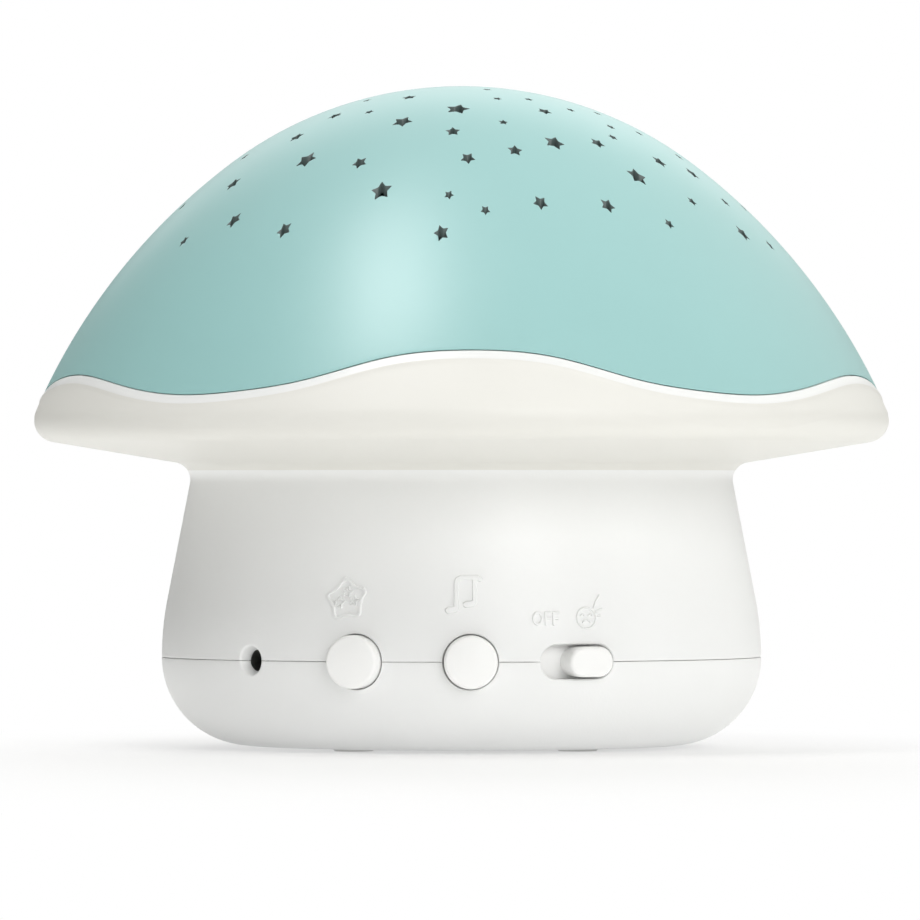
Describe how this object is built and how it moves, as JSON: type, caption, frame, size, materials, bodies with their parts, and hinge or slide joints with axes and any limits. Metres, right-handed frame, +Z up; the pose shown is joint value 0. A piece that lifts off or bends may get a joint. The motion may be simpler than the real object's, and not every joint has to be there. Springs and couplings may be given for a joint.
{
  "type": "night light projector",
  "caption": "Mushroom-shaped night light whose domed cap is pierced with stars to throw them on the ceiling, with push buttons, a mode slider and a charger jack on its battery base.",
  "frame": {"origin": "on the table under the centre of the base", "axes": "+Z up; the controls face -Y; +X is to the right of someone facing the controls"},
  "size_m": [0.1708, 0.1708, 0.132],
  "materials": {
    "white_shell": "fine spark-eroded grain",
    "cell_jacket": "printed jacket, plain",
    "screw_steel": "zinc plated",
    "capacitor_can": "drawn can",
    "contact_metal": "nickel plated",
    "board_green": "solder mask",
    "black_plastic": "moulded",
    "pin_brass": "plated",
    "teal_dome": "satin paint on moulded plastic",
    "dark_deck": "matte",
    "white_button": "smooth satin",
    "clear_led": "clear epoxy",
    "grey_rubber": "matte",
    "cone_paper": "pressed paper",
    "magnet_grey": "ferrite"
  },
  "bodies": {
    "housing": {"base_cup": "white_shell", "battery_cell_front": "cell_jacket", "battery_cell_middle": "cell_jacket", "battery_cell_rear": "cell_jacket", "board_screws": "screw_steel", "brim": "white_shell", "capacitor": "capacitor_can", "contact_plates": "contact_metal", "contact_springs": "contact_metal", "control_board": "board_green", "dc_jack_body": "black_plastic", "dc_jack_pin": "pin_brass", "deck_screws": "screw_steel", "dome_shell": "teal_dome", "housing_screws": "screw_steel", "led_board": "board_green", "led_board_screws": "screw_steel", "light_deck": "dark_deck", "microphone": "capacitor_can", "music_switch_body": "black_plastic", "neck_screws": "screw_steel", "projector_leds": "clear_led", "rubber_feet": "grey_rubber", "slide_switch_body": "screw_steel", "sound_chip": "black_plastic", "speaker_basket": "screw_steel", "speaker_cone": "cone_paper", "speaker_magnet": "magnet_grey", "star_switch_body": "black_plastic", "stem_shell": "white_shell"},
    "star_button": {"star_button": "white_button", "star_switch_plunger": "black_plastic"},
    "music_button": {"music_button": "white_button", "music_switch_plunger": "black_plastic"},
    "mode_knob": {"mode_knob": "white_button", "slide_switch_lever": "black_plastic"},
    "battery_door": {"battery_door": "white_shell"},
    "door_screw": {"door_screw": "screw_steel"}
  },
  "joints": [
    {"name": "star_button_press", "type": "slide", "parent": "housing", "child": "star_button", "axis": [0.3697, 0.9291, 0], "range_m": [0, 0.0008], "stiffness_N_per_m": 400, "springref_m": -0.002},
    {"name": "music_button_press", "type": "slide", "parent": "housing", "child": "music_button", "axis": [-0.0035, 1, 0], "range_m": [0, 0.0008], "stiffness_N_per_m": 400, "springref_m": -0.002},
    {"name": "mode_slide", "type": "slide", "parent": "housing", "child": "mode_knob", "axis": [-0.9354, -0.3535, 0], "range_m": [0, 0.004]},
    {"name": "battery_door_release", "type": "slide", "parent": "housing", "child": "battery_door", "axis": [0, 0, -1], "range_m": [0, 0.03]},
    {"name": "door_screw_turn", "type": "hinge", "parent": "battery_door", "child": "door_screw", "pos_m": [0, -0.0218, 0.002], "axis": [0, 0, 1], "continuous": true}
  ]
}
